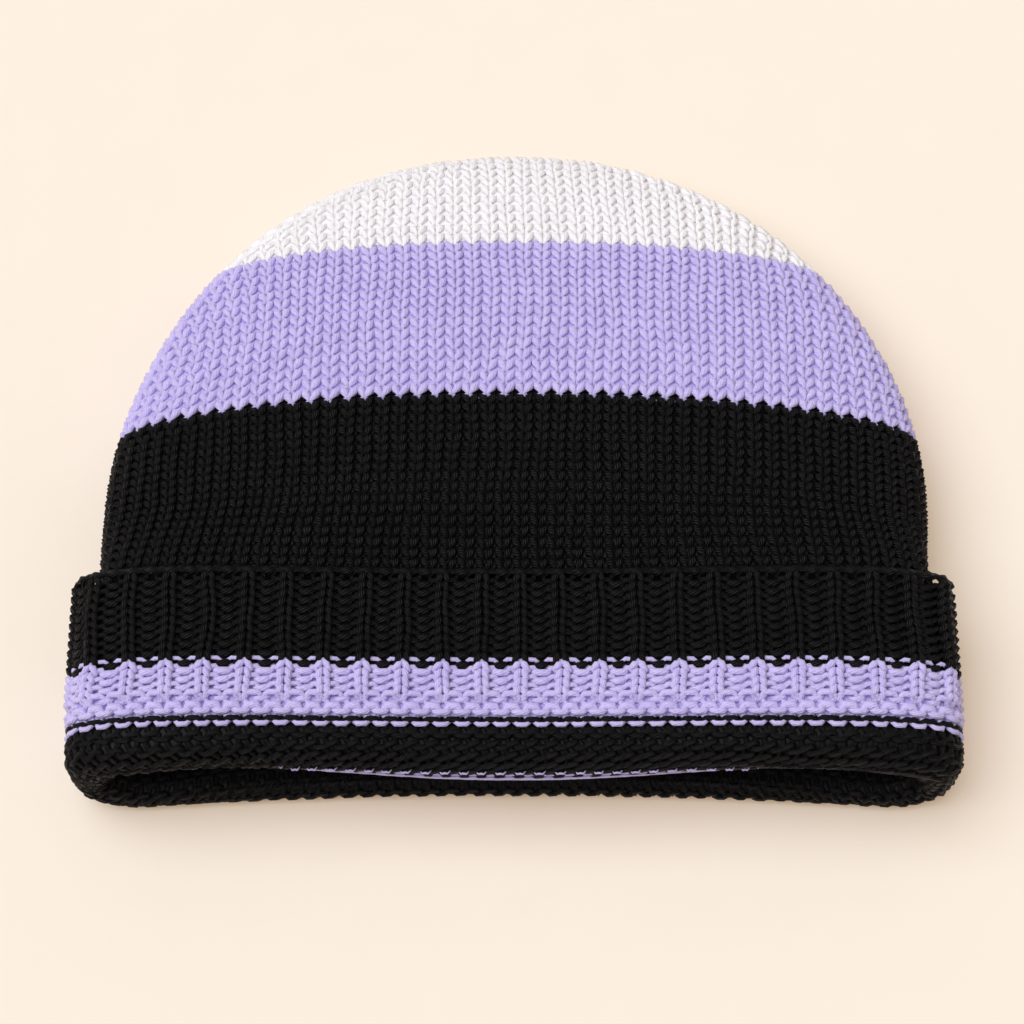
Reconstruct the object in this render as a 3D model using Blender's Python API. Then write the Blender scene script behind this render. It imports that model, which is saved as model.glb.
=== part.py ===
"""A ribbed-cuff knit cap, lying on its back with its mouth to -Y and its crown to +Y.

The cap is one tube of knitting. Its cast-on edge is the upper edge of the turned-up cuff. From
there the fabric runs down the outside of the cuff, turns round the roll at the mouth, goes back
up inside the cuff, and then forms the body as far as the crown. Each colour band is a solid of
its own, and a small gap parts it from the next.
"""

import bmesh
import bpy
import numpy as np

MM = 0.001

# Overall sizes of the cap as it lies
CAP_LENGTH = 193.4 * MM
CUFF_WIDTH = 232.0 * MM
BODY_WIDTH = 220.8 * MM
CUFF_HEIGHT = 40.0 * MM
CUFF_SAG = 5.5 * MM
BODY_HEIGHT = 38.0 * MM
CROWN_END_HEIGHT = 7.0 * MM
BODY_LEAN = 1.4 * MM

# The fabric
WALL = 3.2 * MM
BAND_GAP = 0.3 * MM
LAYER_GAP = 0.5 * MM
SIDE_SLACK = 2.7 * MM
RIB_RELIEF = 0.9 * MM
RIBS = 50
RIB_OFFSET = 0.18

# The cuff, from its cast-on edge down to the roll at the mouth
CUFF_DEPTH = 55.4 * MM
CUFF_EDGE_BOW = 1.0 * MM
RIB_LENGTH = 24.0 * MM
STRIPE_LENGTH = 16.0 * MM
STRIPE_RIB_LENGTH = 9.5 * MM
ROLL_LENGTH_FRONT = 14.2 * MM
ROLL_LENGTH_SIDE = 24.0 * MM
ROLL_LENGTH_BACK = 26.5 * MM
INNER_STRIPE_LENGTH = 16.0 * MM
ROLL_RADIUS_FRONT = 7.5 * MM
ROLL_RADIUS_SIDE = 7.0 * MM
ROLL_RADIUS_BACK = 4.5 * MM
MOUTH_HOLLOW_FRONT = 4.1 * MM
MOUTH_HOLLOW_BACK = 3.9 * MM
MOUTH_DROOP_FRONT = 2.2 * MM
MOUTH_CORNER_RECESS = 2.3 * MM

# The body's bands, measured along the centre line from the cuff's upper edge
BASE_SHOWING = 50.0 * MM
BAND_SHOWING = 48.5 * MM
COURSE_BOW = 8.0 * MM
BODY_PEAK = 30.0 * MM
BODY_EASE = 26.0 * MM
CUFF_CONVERGE = 30.0 * MM

# Shape of the sections: how square they are, and where their widest line lies
CUFF_SQUARENESS = 4.5
BODY_SQUARENESS = {"at_cuff": 3.3, "at_crown": 2.1}
WIDEST_SHARE = 0.44
SEAT_SINK_SHARE = 0.12
OUTLINE_POWER = 2.24
OUTLINE_ROUNDING = 0.55
HEIGHT_POWER = 2.4
HEIGHT_ROUNDING = 0.55
WIDTH_START_SHARE = 0.195
EDGE_HEIGHT_SHARE = 0.86
END_LIFT_START = 0.6
END_LIFT_POWER = 2.5
CORNER_POWER = {"front": 6.0, "back": 2.4}
CORNER_AT = 0.87
LEAN_POWER = 1.3
DROOP_POWER = 6.0
CORNER_SLACK_POWER = 10.0

# Points round each ring, and how much closer they stand at the two side folds
ROUND_POINTS = 72
RIB_POINTS = 4 * RIBS
SIDE_CROWDING = 0.45
SECTION_STEPS = 1080
CLOSING_SHARE = 0.986

# Where each ring of a band lies, as shares of the band's own length
RING_SHARES = {
    "crown_top": (0.0, 0.2, 0.4, 0.58, 0.74, 0.87, 0.95, 1.0),
    "crown_band": (0.0, 0.34, 0.68, 1.0),
    "crown_base": (0.0, 0.2, 0.4, 0.5, 0.62, 0.8, 1.0),
    "inner_stripe": (0.0, 0.25, 0.5, 1.0),
    "cuff_roll": (0.0, 0.16, 0.32, 0.48, 0.64, 0.82, 1.0),
    "cuff_stripe": (0.0, 0.56, 0.68, 1.0),
    "cuff_rib": (0.0, 1.0),
}

# Base colour and roughness of the yarn of each band
YARNS = {
    "white": ((0.84, 0.80, 0.82), 0.9),
    "lavender": ((0.46, 0.39, 0.71), 0.9),
    "black": ((0.008, 0.007, 0.008), 0.85),
}
BAND_YARNS = {
    "crown_top": "white",
    "crown_band": "lavender",
    "crown_base": "black",
    "inner_stripe": "lavender",
    "cuff_roll": "black",
    "cuff_stripe": "lavender",
    "cuff_rib": "black",
}

MOUTH_Y = -CAP_LENGTH / 2
APEX_Y = CAP_LENGTH / 2
CUFF_EDGE_Y = MOUTH_Y + CUFF_DEPTH
BASE_END_Y = CUFF_EDGE_Y + BASE_SHOWING
BAND_END_Y = BASE_END_Y + BAND_SHOWING
PEAK_Y = CUFF_EDGE_Y + BODY_PEAK


def smooth(share):
    """A slow start and a slow end between 0 and 1."""
    share = np.clip(share, 0.0, 1.0)
    return share * share * (3.0 - 2.0 * share)


def clear_scene():
    for obj in list(bpy.data.objects):
        bpy.data.objects.remove(obj, do_unlink=True)


def squared_circle(angle, squareness):
    """Point of a unit circle that is pulled towards a square; 2 leaves it round."""
    side = np.cos(angle)
    rise = np.sin(angle)
    radius = (np.abs(side) ** squareness + np.abs(rise) ** squareness) ** (-1.0 / squareness)
    return side * radius, rise * radius


def section_point(angle, half_width, top, bottom, squareness, sag):
    """Point (x, z) of a flattened round section; it is flat below, where the cap rests."""
    side, rise = squared_circle(angle, squareness)
    widest = bottom + WIDEST_SHARE * (top - bottom)
    dip = sag * (1.0 - side**2) ** 2
    sink = SEAT_SINK_SHARE * (top - bottom)
    upper = widest + (top - widest) * rise - dip
    lower = np.maximum(widest + (widest - bottom + sink) * rise, bottom)
    return half_width * side, np.where(rise > 0.0, upper, lower)


def angles_at(turns, half_width, top, bottom, squareness, sag):
    """Section angles that divide its length evenly; turn 0 is the middle of the back."""
    angle = np.linspace(-np.pi / 2, 1.5 * np.pi, SECTION_STEPS + 1)
    x, z = section_point(angle, half_width, top, bottom, squareness, sag)
    length = np.concatenate(([0.0], np.cumsum(np.hypot(np.diff(x), np.diff(z)))))
    return np.interp(turns * length[-1], length, angle)


def ring_turns(points):
    """Shares of a full turn: in step with the ribs, or closer together at the two side folds."""
    turn = np.arange(points) / points
    if points == RIB_POINTS:
        return (turn - RIB_OFFSET / RIBS) % 1.0
    return turn + SIDE_CROWDING * np.sin(4.0 * np.pi * turn) / (4.0 * np.pi)


def cuff_angles(turns):
    half = WALL / 2
    return angles_at(turns, CUFF_WIDTH / 2 - half, CUFF_HEIGHT - half, half, CUFF_SQUARENESS, CUFF_SAG)


def cuff_layer(angle, y, depth):
    """A point this deep under the cuff's outer face."""
    x, z = section_point(
        angle, CUFF_WIDTH / 2 - depth, CUFF_HEIGHT - depth, depth, CUFF_SQUARENESS, CUFF_SAG
    )
    return np.stack([x, y * np.ones_like(x), z], axis=-1)


def around(angle, front, side, back):
    """A size that differs between the front, the side folds and the back."""
    rise = squared_circle(angle, CUFF_SQUARENESS)[1]
    return np.where(rise > 0.0, side + (front - side) * rise, side + (back - side) * -rise)


def mouth_line(angle):
    """Y of the roll's tip: the corners lead, and the front's middle droops forward between them."""
    side, rise = squared_circle(angle, CUFF_SQUARENESS)
    side = np.abs(side)
    front = MOUTH_HOLLOW_FRONT * (1.0 - side ** CORNER_POWER["front"])
    front = front - MOUTH_DROOP_FRONT * (1.0 - side**2) ** DROOP_POWER
    back = MOUTH_HOLLOW_BACK * (1.0 - np.minimum(side / CORNER_AT, 1.0) ** CORNER_POWER["back"])
    past_corner = np.maximum(side - CORNER_AT, 0.0) / (1.0 - CORNER_AT)
    return MOUTH_Y + np.where(rise > 0.0, front, back) + MOUTH_CORNER_RECESS * past_corner**2


def edge_line(angle):
    """Y of the cuff's cast-on edge."""
    side = squared_circle(angle, CUFF_SQUARENESS)[0]
    return CUFF_EDGE_Y - CUFF_EDGE_BOW * side**2


def roll_radius(angle):
    return around(angle, ROLL_RADIUS_FRONT, ROLL_RADIUS_SIDE, ROLL_RADIUS_BACK)


def roll_length(angle):
    return around(angle, ROLL_LENGTH_FRONT, ROLL_LENGTH_SIDE, ROLL_LENGTH_BACK)


def turned_length(angle):
    """Length of fabric round the roll, along its middle."""
    return np.pi * (roll_radius(angle) - WALL / 2)


def flat_length(angle):
    """Length of fabric from the cast-on edge to where the roll starts."""
    return edge_line(angle) - mouth_line(angle) - roll_radius(angle)


def body_half_width(y, inset):
    """Half the body's width: straight beside the cuff, then rounding in to the crown."""
    start = CUFF_EDGE_Y + WIDTH_START_SHARE * (APEX_Y - CUFF_EDGE_Y)
    share = np.clip((y - start) / (APEX_Y - inset - start), 0.0, 1.0)
    return (BODY_WIDTH / 2 - inset) * (1.0 - share**OUTLINE_POWER) ** OUTLINE_ROUNDING


def body_heights(y, inset):
    """Lowest and highest z of the body's section on its centre line."""
    share = np.clip((y - PEAK_Y) / (APEX_Y - inset - PEAK_Y), 0.0, 1.0)
    crest = BODY_HEIGHT - inset - CROWN_END_HEIGHT
    top = CROWN_END_HEIGHT + crest * (1.0 - share**HEIGHT_POWER) ** HEIGHT_ROUNDING
    before = np.clip((PEAK_Y - y) / (PEAK_Y - CUFF_EDGE_Y), 0.0, 1.0)
    top = top - BODY_HEIGHT * (1.0 - EDGE_HEIGHT_SHARE) * before**2
    lifting = np.clip((share - END_LIFT_START) / (1.0 - END_LIFT_START), 0.0, 1.0)
    bottom = inset + (CROWN_END_HEIGHT - inset) * lifting**END_LIFT_POWER
    return bottom, top


def body_ring(turns, y, inset):
    """One ring of the body at nominal y, this far inside its outer face."""
    half_width = body_half_width(y, inset)
    bottom, top = body_heights(y, inset)
    share = np.clip((y - CUFF_EDGE_Y) / (APEX_Y - CUFF_EDGE_Y), 0.0, 1.0)
    squareness = BODY_SQUARENESS["at_cuff"] + share * (
        BODY_SQUARENESS["at_crown"] - BODY_SQUARENESS["at_cuff"]
    )
    angle = angles_at(turns, half_width, top, bottom, squareness, 0.0)
    x, z = section_point(angle, half_width, top, bottom, squareness, 0.0)
    bow = COURSE_BOW * np.sin(np.pi * share) * (x / (BODY_WIDTH / 2)) ** 2
    lean = BODY_LEAN * np.sin(np.pi * share**LEAN_POWER)
    return np.stack([x + lean, y - bow, z], axis=-1)


def inner_ring(turns, y, depth):
    """A ring of the layer inside the cuff, which becomes the body past the cuff's edge.

    y has one value for each point, and depth is measured from the side that faces the hollow.
    """
    angle = cuff_angles(turns)
    corner = np.abs(squared_circle(angle, CUFF_SQUARENESS)[0]) ** CORNER_SLACK_POWER
    nested = WALL * 1.5 + LAYER_GAP + SIDE_SLACK * corner
    share = smooth((y - mouth_line(angle) - roll_radius(angle)) / CUFF_CONVERGE)
    middle = (2 * roll_radius(angle) - WALL / 2) * (1.0 - share) + nested * share
    under_cuff = cuff_layer(angle, y, middle + WALL / 2 - depth)
    eased = smooth((y - CUFF_EDGE_Y) / BODY_EASE)[:, None]
    if not eased.any():
        return under_cuff
    return under_cuff * (1.0 - eased) + body_ring(turns, y.max(), WALL - depth) * eased


def cuff_ring(turns, distance, depth):
    """A ring of the cuff's outer layer and roll, this far along the fabric from the cast-on edge."""
    angle = cuff_angles(turns)
    radius = roll_radius(angle)
    flat = flat_length(angle)
    turn = np.clip((distance - flat) / turned_length(angle), 0.0, 1.0) * np.pi
    past = np.maximum(distance - flat - turned_length(angle), 0.0)
    centre = mouth_line(angle) + radius
    y = centre + np.maximum(flat - distance, 0.0) - (radius - depth) * np.sin(turn)
    layer = cuff_layer(angle, y, radius - (radius - depth) * np.cos(turn))
    inside = inner_ring(turns, centre + past, depth)
    return np.where((past > 0.0)[:, None], inside, layer)


def roll_end(turns):
    """Distance from the cast-on edge to the end of the roll, for each point round the ring."""
    return RIB_LENGTH + STRIPE_LENGTH + roll_length(cuff_angles(turns))


def inner_stripe_end_y(turns):
    """Y of the inner stripe's end, inside the cuff, for each point round the ring."""
    angle = cuff_angles(turns)
    past = roll_end(turns) + BAND_GAP + INNER_STRIPE_LENGTH - flat_length(angle) - turned_length(angle)
    return mouth_line(angle) + roll_radius(angle) + past


def rib_relief(turns, strength):
    """Depth of the furrows between the ribs, with a rib on the front's centre line."""
    ribs_past = RIBS * (turns - 0.5) + RIB_OFFSET
    return RIB_RELIEF * strength * (0.5 - 0.5 * np.cos(2.0 * np.pi * ribs_past))


def cuff_rib_rings(turns, depth, furrows):
    for share in RING_SHARES["cuff_rib"]:
        distance = share * (RIB_LENGTH - BAND_GAP)
        yield cuff_ring(turns, distance, depth + furrows * rib_relief(turns, 1.0))


def cuff_stripe_rings(turns, depth, furrows):
    for share in RING_SHARES["cuff_stripe"]:
        along = share * (STRIPE_LENGTH - BAND_GAP)
        strength = float(along < STRIPE_RIB_LENGTH)
        relief = rib_relief(turns, strength)
        yield cuff_ring(turns, RIB_LENGTH + along, depth + furrows * relief)


def cuff_roll_rings(turns, depth):
    start = RIB_LENGTH + STRIPE_LENGTH
    for share in RING_SHARES["cuff_roll"]:
        distance = start + share * (roll_end(turns) - start)
        yield cuff_ring(turns, distance, depth)


def inner_stripe_rings(turns, depth):
    for share in RING_SHARES["inner_stripe"]:
        distance = roll_end(turns) + BAND_GAP + share * INNER_STRIPE_LENGTH
        yield cuff_ring(turns, distance, depth)


def crown_base_rings(turns, depth):
    """The hidden stretch inside the cuff, then the stretch that shows."""
    begins = inner_stripe_end_y(turns) + BAND_GAP
    for share in RING_SHARES["crown_base"][:3]:
        yield inner_ring(turns, begins + share / 0.5 * (CUFF_EDGE_Y - begins), depth)
    for share in RING_SHARES["crown_base"][3:]:
        y = CUFF_EDGE_Y + (share - 0.5) / 0.5 * BASE_SHOWING
        yield inner_ring(turns, np.full(len(turns), y), depth)


def crown_band_rings(turns, depth):
    length = BAND_SHOWING - BAND_GAP
    for share in RING_SHARES["crown_band"]:
        yield body_ring(turns, BASE_END_Y + BAND_GAP + share * length, WALL - depth)


def crown_top_rings(turns, depth):
    inset = WALL - depth
    start = BAND_END_Y + BAND_GAP
    end = start + CLOSING_SHARE * (APEX_Y - inset - start)
    for share in RING_SHARES["crown_top"]:
        yield body_ring(turns, start + share * (end - start), inset)


def join_rings(mesh, lower, upper):
    """Quads between two rings of as many points."""
    count = len(lower)
    for i in range(count):
        j = (i + 1) % count
        mesh.faces.new((lower[i], lower[j], upper[j], upper[i]))


def cap_ring(mesh, ring, centre):
    """A fan of triangles that closes a ring at this point."""
    hub = mesh.verts.new(centre)
    for i, point in enumerate(ring):
        mesh.faces.new((point, ring[(i + 1) % len(ring)], hub))


def solid_from(name, paths, closed_end):
    """A wall between two faces of the fabric: a ring-shaped one, or one closed at the crown."""
    mesh = bmesh.new()
    faces = [[[mesh.verts.new(point) for point in ring] for ring in path] for path in paths]
    for path in faces:
        for lower, upper in zip(path, path[1:]):
            join_rings(mesh, lower, upper)
    join_rings(mesh, faces[0][0], faces[1][0])
    if closed_end:
        for path, points, inset in zip(faces, paths, (WALL, 0.0)):
            centre = points[-1].mean(axis=0)
            centre[1] = APEX_Y - inset
            cap_ring(mesh, path[-1], centre)
    else:
        join_rings(mesh, faces[0][-1], faces[1][-1])
    bmesh.ops.recalc_face_normals(mesh, faces=mesh.faces)
    bmesh.ops.triangulate(mesh, faces=mesh.faces)
    data = bpy.data.meshes.new(name)
    mesh.to_mesh(data)
    mesh.free()
    data.shade_smooth()
    data.set_sharp_from_angle(angle=np.radians(50.0))
    obj = bpy.data.objects.new(name, data)
    bpy.context.scene.collection.objects.link(obj)
    return obj


def yarn_material(band):
    """The band's own matte yarn."""
    colour, roughness = YARNS[BAND_YARNS[band]]
    material = bpy.data.materials.new(band + "_yarn")
    material.use_nodes = True
    shader = material.node_tree.nodes["Principled BSDF"]
    shader.inputs["Base Color"].default_value = (*colour, 1.0)
    shader.inputs["Roughness"].default_value = roughness
    shader.inputs["Metallic"].default_value = 0.0
    return material


def make_band(name, points, rings, closed_end=False):
    """One band of the cap, from the function that gives its rings at a depth."""
    turns = ring_turns(points)
    paths = [list(rings(turns, depth)) for depth in (0.0, WALL)]
    obj = solid_from(name, paths, closed_end)
    obj.data.materials.append(yarn_material(name))
    return obj


def make_ribbed_band(name, rings):
    """A band of the cuff with its ribs on the outer face alone."""
    turns = ring_turns(RIB_POINTS)
    paths = [list(rings(turns, 0.0, 1.0)), list(rings(turns, WALL, 0.0))]
    obj = solid_from(name, paths, False)
    obj.data.materials.append(yarn_material(name))
    return obj


def main():
    clear_scene()
    make_ribbed_band("cuff_rib", cuff_rib_rings)
    make_ribbed_band("cuff_stripe", cuff_stripe_rings)
    make_band("cuff_roll", ROUND_POINTS, cuff_roll_rings)
    make_band("inner_stripe", ROUND_POINTS, inner_stripe_rings)
    make_band("crown_base", ROUND_POINTS, crown_base_rings)
    make_band("crown_band", ROUND_POINTS, crown_band_rings)
    make_band("crown_top", ROUND_POINTS, crown_top_rings, closed_end=True)


main()
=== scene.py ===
import math

import bpy
import numpy as np
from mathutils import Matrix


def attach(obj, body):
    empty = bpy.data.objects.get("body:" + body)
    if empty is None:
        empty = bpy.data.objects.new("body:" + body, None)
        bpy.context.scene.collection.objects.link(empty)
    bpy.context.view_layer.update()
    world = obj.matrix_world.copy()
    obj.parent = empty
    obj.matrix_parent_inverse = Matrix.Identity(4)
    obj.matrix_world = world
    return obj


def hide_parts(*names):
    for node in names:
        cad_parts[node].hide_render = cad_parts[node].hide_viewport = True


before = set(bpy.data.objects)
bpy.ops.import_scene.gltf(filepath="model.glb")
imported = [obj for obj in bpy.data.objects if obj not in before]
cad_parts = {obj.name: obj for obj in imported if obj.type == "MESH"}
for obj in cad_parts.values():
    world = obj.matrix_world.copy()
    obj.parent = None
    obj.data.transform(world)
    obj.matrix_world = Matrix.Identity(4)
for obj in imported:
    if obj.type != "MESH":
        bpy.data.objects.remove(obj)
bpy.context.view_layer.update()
mm = 0.001

# The cap lies on its back: mouth to -Y, crown to +Y. Its sizes are the part's own, in metres, but
# for the mouth's back hollow, its corner recess, and the tuck and drop of the inner stripe's line.
cap = {
    "length": 193.4 * mm,
    "cuffWidth": 232.0 * mm,
    "bodyWidth": 220.8 * mm,
    "cuffHeight": 40.0 * mm,
    "cuffSag": 5.5 * mm,
    "bodyHeight": 38.0 * mm,
    "crownEndHeight": 7.0 * mm,
    "bodyLean": 1.4 * mm,
    "wall": 3.2 * mm,
    "layerGap": 0.5 * mm,
    "sideSlack": 2.7 * mm,
    "cuffDepth": 55.4 * mm,
    "cuffEdgeBow": 1.0 * mm,
    "ribLength": 24.0 * mm,
    "stripeLength": 16.0 * mm,
    "rollLengthFront": 14.2 * mm,
    "rollLengthSide": 24.0 * mm,
    "rollLengthBack": 26.5 * mm,
    "innerStripeLength": 16.0 * mm,
    "lineTuck": 4.0 * mm,
    "lineDrop": 1.1 * mm,
    "rollRadiusFront": 7.5 * mm,
    "rollRadiusSide": 7.0 * mm,
    "rollRadiusBack": 4.5 * mm,
    "mouthHollowFront": 4.1 * mm,
    "mouthHollowBack": 3.1 * mm,
    "mouthDroopFront": 2.2 * mm,
    "mouthCornerRecess": 1.4 * mm,
    "baseShowing": 50.0 * mm,
    "bandShowing": 48.5 * mm,
    "courseBow": 8.0 * mm,
    "bodyPeak": 30.0 * mm,
    "bodyEase": 26.0 * mm,
    "cuffConverge": 30.0 * mm,
}

# How the sections and the outline are rounded
rounding = {
    "cuffSquareness": 4.5,
    "bodySquarenessAtCuff": 3.3,
    "bodySquarenessAtCrown": 2.1,
    "widestShare": 0.44,
    "seatSinkShare": 0.12,
    "outlinePower": 2.24,
    "outlineRounding": 0.55,
    "heightPower": 2.4,
    "heightRounding": 0.55,
    "widthStartShare": 0.195,
    "edgeHeightShare": 0.86,
    "endLiftStart": 0.6,
    "endLiftPower": 2.5,
    "cornerPowerFront": 6.0,
    "cornerPowerBack": 2.4,
    "cornerAt": 0.87,
    "leanPower": 1.3,
    "droopPower": 6.0,
    "cornerSlackPower": 10.0,
    "closingShare": 0.986,
    "sectionSteps": 1080,
    "crownSteps": 800,
    "seamAhead": 0.6,           # how far towards the apex the closing seam lies
    "lineEnds": 0.46,           # past this share of the half width the roll hides the inner stripe
    "lineFade": 0.26,
}

mouthY = -cap["length"] / 2
apexY = cap["length"] / 2
cuffEdgeY = mouthY + cap["cuffDepth"]
baseEndY = cuffEdgeY + cap["baseShowing"]
bandEndY = baseEndY + cap["bandShowing"]
peakY = cuffEdgeY + cap["bodyPeak"]
half = cap["wall"] / 2  # the yarn runs along the middle of the wall

# Courses of each stretch, in the order they are knitted from the cast-on edge
courses = {
    "cuffRib": 10,
    "cuffStripe": 6,
    "cuffRoll": 6,
    "innerStripe": 6,
    "baseInside": 11,
    "crownBase": 18,
    "crownBand": 15,
    "crownTop": 11,
}
ribbedStripeCourses = 4  # the stripe's last two courses are reverse knit
# Reverse knit courses stand further apart than ribbed ones, and the front of the roll packs its last
pitch = {
    "stripeCourse": (0, ribbedStripeCourses, 5, 6),
    "stripeShare": (0.0, 0.575, 0.805, 1.0),
    "rollClosingFront": 0.35,
    "bandEasing": 0.1,          # its lower courses are taller
    "topEasing": 0.16,          # its last courses are taller
}
firstCourse = {}
courseTotal = 0
for stretchName, stretchCourses in courses.items():
    firstCourse[stretchName] = courseTotal
    courseTotal += stretchCourses


# The form of the fabric is one tube, from the cast-on edge to the crown
def smooth(share):
    share = np.clip(share, 0.0, 1.0)
    return share * share * (3.0 - 2.0 * share)


def squaredCircle(angle, squareness):
    side = np.cos(angle)
    rise = np.sin(angle)
    radius = (np.abs(side) ** squareness + np.abs(rise) ** squareness) ** (-1.0 / squareness)
    return side * radius, rise * radius


def cuffCircle(angle):
    return squaredCircle(angle, rounding["cuffSquareness"])


def sectionPoint(angle, halfWidth, top, bottom, squareness, sag):
    side, rise = squaredCircle(angle, squareness)
    widest = bottom + rounding["widestShare"] * (top - bottom)
    sink = rounding["seatSinkShare"] * (top - bottom)
    upper = widest + (top - widest) * rise - sag * (1.0 - side**2) ** 2
    lower = np.maximum(widest + (widest - bottom + sink) * rise, bottom)
    return halfWidth * side, np.where(rise > 0.0, upper, lower)


# Section angles that divide its length evenly; turn 0 is the middle of the back
def anglesAt(turns, halfWidth, top, bottom, squareness, sag):
    angle = np.linspace(-np.pi / 2, 1.5 * np.pi, rounding["sectionSteps"] + 1)
    x, z = sectionPoint(angle, halfWidth, top, bottom, squareness, sag)
    length = np.concatenate(([0.0], np.cumsum(np.hypot(np.diff(x), np.diff(z)))))
    return np.interp(turns * length[-1], length, angle)


def cuffAngles(turns):
    return anglesAt(
        turns, cap["cuffWidth"] / 2 - half, cap["cuffHeight"] - half, half,
        rounding["cuffSquareness"], cap["cuffSag"],
    )


def cuffLayer(angle, y, depth):
    x, z = sectionPoint(
        angle, cap["cuffWidth"] / 2 - depth, cap["cuffHeight"] - depth, depth,
        rounding["cuffSquareness"], cap["cuffSag"],
    )
    return np.stack([x, y * np.ones_like(x), z], axis=-1)


# A size that differs between the front, the side folds and the back
def around(angle, front, side, back):
    rise = cuffCircle(angle)[1]
    return np.where(rise > 0.0, side + (front - side) * rise, side + (back - side) * -rise)


def mouthLine(angle):
    side, rise = cuffCircle(angle)
    side = np.abs(side)
    cornerAt = rounding["cornerAt"]
    front = cap["mouthHollowFront"] * (1.0 - side ** rounding["cornerPowerFront"])
    front = front - cap["mouthDroopFront"] * (1.0 - side**2) ** rounding["droopPower"]
    back = np.minimum(side / cornerAt, 1.0) ** rounding["cornerPowerBack"]
    back = cap["mouthHollowBack"] * (1.0 - back)
    pastCorner = np.maximum(side - cornerAt, 0.0) / (1.0 - cornerAt)
    return mouthY + np.where(rise > 0.0, front, back) + cap["mouthCornerRecess"] * pastCorner**2


def edgeLine(angle):
    side = cuffCircle(angle)[0]
    return cuffEdgeY - cap["cuffEdgeBow"] * side**2


def rollRadius(angle):
    return around(angle, cap["rollRadiusFront"], cap["rollRadiusSide"], cap["rollRadiusBack"])


def rollEnd(angle):
    length = around(angle, cap["rollLengthFront"], cap["rollLengthSide"], cap["rollLengthBack"])
    side, rise = cuffCircle(angle)
    hidden = smooth((np.abs(side) - rounding["lineEnds"]) / rounding["lineFade"])
    length = length + (cap["lineDrop"] + cap["lineTuck"] * hidden) * np.maximum(rise, 0.0)
    return cap["ribLength"] + cap["stripeLength"] + length


def turnedLength(angle):
    return np.pi * (rollRadius(angle) - half)


def flatLength(angle):
    return edgeLine(angle) - mouthLine(angle) - rollRadius(angle)


def bodyHalfWidth(y, inset):
    start = cuffEdgeY + rounding["widthStartShare"] * (apexY - cuffEdgeY)
    share = np.clip((y - start) / (apexY - inset - start), 0.0, 1.0)
    across = (1.0 - share ** rounding["outlinePower"]) ** rounding["outlineRounding"]
    return (cap["bodyWidth"] / 2 - inset) * across


def bodyHeights(y, inset):
    share = np.clip((y - peakY) / (apexY - inset - peakY), 0.0, 1.0)
    crest = cap["bodyHeight"] - inset - cap["crownEndHeight"]
    crown = (1.0 - share ** rounding["heightPower"]) ** rounding["heightRounding"]
    top = cap["crownEndHeight"] + crest * crown
    before = np.clip((peakY - y) / (peakY - cuffEdgeY), 0.0, 1.0)
    top = top - cap["bodyHeight"] * (1.0 - rounding["edgeHeightShare"]) * before**2
    lifting = np.clip((share - rounding["endLiftStart"]) / (1.0 - rounding["endLiftStart"]), 0.0, 1.0)
    bottom = inset + (cap["crownEndHeight"] - inset) * lifting ** rounding["endLiftPower"]
    return bottom, top


def bodyRing(turns, y, inset):
    halfWidth = bodyHalfWidth(y, inset)
    bottom, top = bodyHeights(y, inset)
    share = np.clip((y - cuffEdgeY) / (apexY - cuffEdgeY), 0.0, 1.0)
    atCuff = rounding["bodySquarenessAtCuff"]
    squareness = atCuff + share * (rounding["bodySquarenessAtCrown"] - atCuff)
    angle = anglesAt(turns, halfWidth, top, bottom, squareness, 0.0)
    x, z = sectionPoint(angle, halfWidth, top, bottom, squareness, 0.0)
    bow = cap["courseBow"] * np.sin(np.pi * share) * (x / (cap["bodyWidth"] / 2)) ** 2
    lean = cap["bodyLean"] * np.sin(np.pi * share ** rounding["leanPower"])
    return np.stack([x + lean, y - bow, z], axis=-1)


# The layer inside the cuff, which becomes the body past the cuff's edge
def innerRing(turns, y):
    angle = cuffAngles(turns)
    side = cuffCircle(angle)[0]
    corner = np.abs(side) ** rounding["cornerSlackPower"]
    nested = cap["wall"] * 1.5 + cap["layerGap"] + cap["sideSlack"] * corner
    share = smooth((y - mouthLine(angle) - rollRadius(angle)) / cap["cuffConverge"])
    middle = (2 * rollRadius(angle) - half) * (1.0 - share) + nested * share
    underCuff = cuffLayer(angle, y, middle)
    eased = smooth((y - cuffEdgeY) / cap["bodyEase"])[:, None]
    if not eased.any():
        return underCuff
    return underCuff * (1.0 - eased) + bodyRing(turns, y.max(), half) * eased


# The cuff's outer layer and its roll, this far along the fabric from the cast-on edge
def cuffRing(turns, distance):
    angle = cuffAngles(turns)
    radius = rollRadius(angle)
    flat = flatLength(angle)
    turn = np.clip((distance - flat) / turnedLength(angle), 0.0, 1.0) * np.pi
    past = np.maximum(distance - flat - turnedLength(angle), 0.0)
    centre = mouthLine(angle) + radius
    y = centre + np.maximum(flat - distance, 0.0) - (radius - half) * np.sin(turn)
    layer = cuffLayer(angle, y, radius - (radius - half) * np.cos(turn))
    inside = innerRing(turns, centre + past)
    return np.where((past > 0.0)[:, None], inside, layer)


# The crown's rows keep an even pitch along its top, down to the closing seam
crownEndY = bandEndY + rounding["closingShare"] * (apexY - half - bandEndY)
crownY = np.linspace(bandEndY, crownEndY, rounding["crownSteps"])
crownTops = bodyHeights(crownY, half)[1]
crownArc = np.concatenate(([0.0], np.cumsum(np.hypot(np.diff(crownY), np.diff(crownTops)))))
seamEnds = bodyHeights(crownY[-1], half)
seamReach = 0.5 * (seamEnds[1] - seamEnds[0])  # from the last full ring round to the closing seam
crownLength = crownArc[-1] + seamReach


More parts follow.
